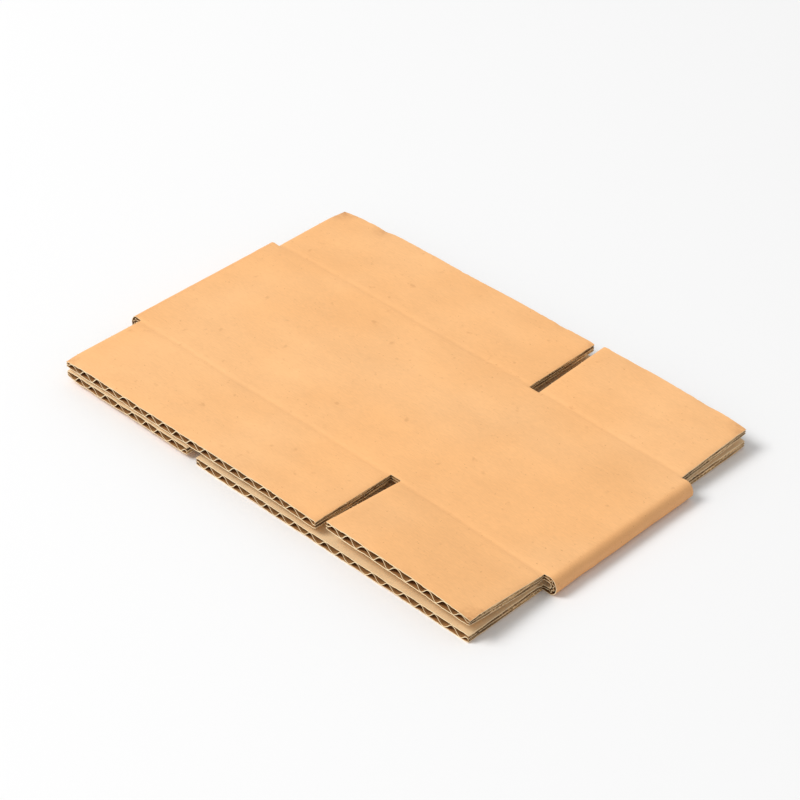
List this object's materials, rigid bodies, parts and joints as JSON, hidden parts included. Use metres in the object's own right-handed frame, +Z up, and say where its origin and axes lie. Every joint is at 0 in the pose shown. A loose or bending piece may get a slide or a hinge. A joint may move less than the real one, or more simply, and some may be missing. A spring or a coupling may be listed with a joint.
{
  "type": "flattened cardboard box",
  "caption": "Knocked-down corrugated shipping box: a glued tube of fluted board folded flat at opposite corners, with slotted flaps and open fluted edges, lying on its lower wall.",
  "frame": {"origin": "middle of the underside, on the surface that the flattened box lies on", "axes": "+X along the flattened length towards the fold beside the raised width panel, +Y along the flutes towards the rear flaps, +Z up through the two walls"},
  "size_m": [0.2358, 0.158, 0.0139],
  "materials": {
    "kraft_board": "matt brown kraft paper"
  },
  "bodies": {
    "root": {"flattened_box": "kraft_board"}
  },
  "joints": []
}
